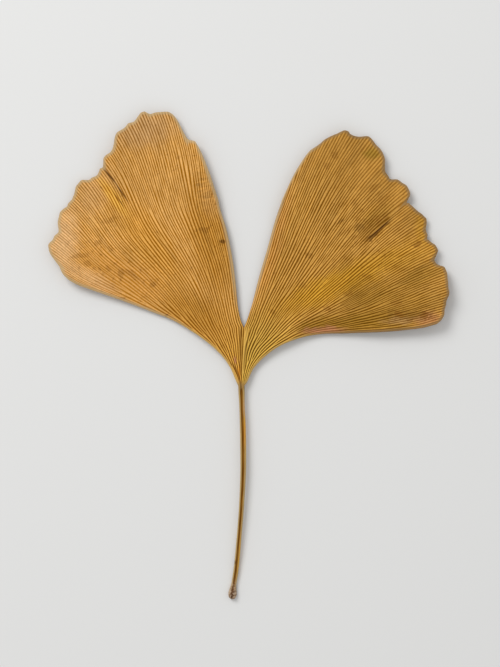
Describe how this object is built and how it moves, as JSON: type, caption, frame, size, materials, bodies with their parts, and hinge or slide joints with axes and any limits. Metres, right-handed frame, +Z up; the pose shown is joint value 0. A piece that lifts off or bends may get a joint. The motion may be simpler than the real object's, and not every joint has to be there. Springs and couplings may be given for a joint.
{
  "type": "ginkgo leaf",
  "caption": "Dried fan-shaped ginkgo leaf, deeply cleft into two lobes with wavy far margins and forking ribs, on a slender grooved stalk, lying flat.",
  "frame": {"origin": "on the surface that the leaf lies on, under the middle of its outline", "axes": "+Y from the stalk's foot towards the lobes, along the leaf's length; +Z up, out of the upper face; +X to the right lobe, seen from above with the lobes away from the viewer"},
  "size_m": [0.0959, 0.117, 0.0044],
  "materials": {
    "leaf_tissue": "dry satin leaf, light tan ribs over golden brown furrows"
  },
  "bodies": {
    "root": {"leaf": "leaf_tissue"}
  },
  "joints": []
}
